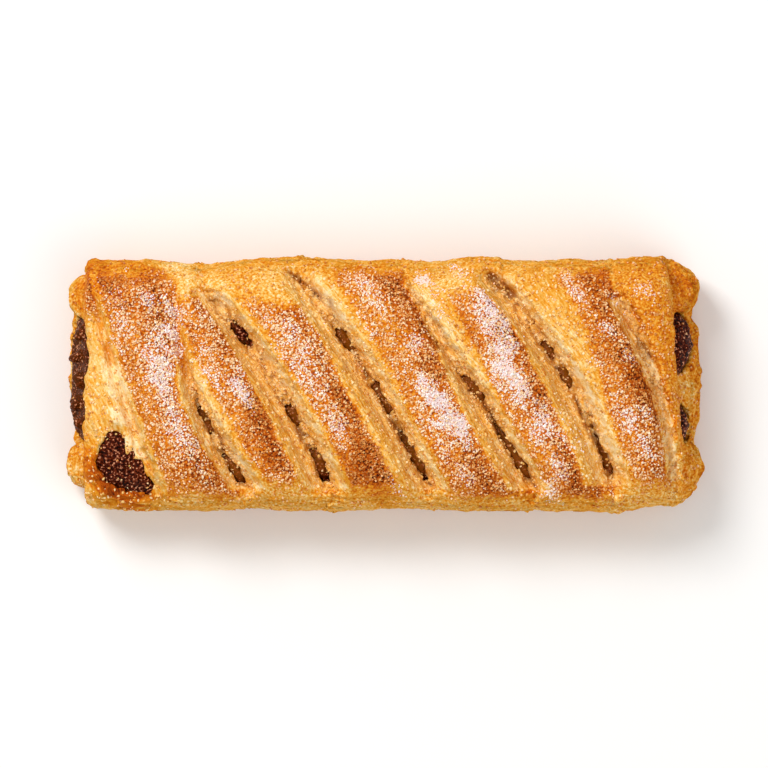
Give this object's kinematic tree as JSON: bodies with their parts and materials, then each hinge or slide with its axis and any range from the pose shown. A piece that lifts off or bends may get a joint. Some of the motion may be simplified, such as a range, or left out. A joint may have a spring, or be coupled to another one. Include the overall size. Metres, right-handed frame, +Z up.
{
  "type": "mince pie roll",
  "caption": "Oblong puff pastry parcel with slanting slits in its lid, open ends and a mincemeat filling that shows in the slits.",
  "frame": {"origin": "centre of the flat underside that the roll rests on", "axes": "+X along the roll, towards the end with two small windows of filling; +Y across it; +Z up"},
  "size_m": [0.1494, 0.0597, 0.0302],
  "materials": {
    "pastry": "baked puff pastry, golden to brown and matte, with pale torn layers in the slits",
    "mincemeat": "dark brown mincemeat, sticky and glossy"
  },
  "bodies": {
    "root": {"pastry": "pastry", "mincemeat": "mincemeat"}
  },
  "joints": []
}
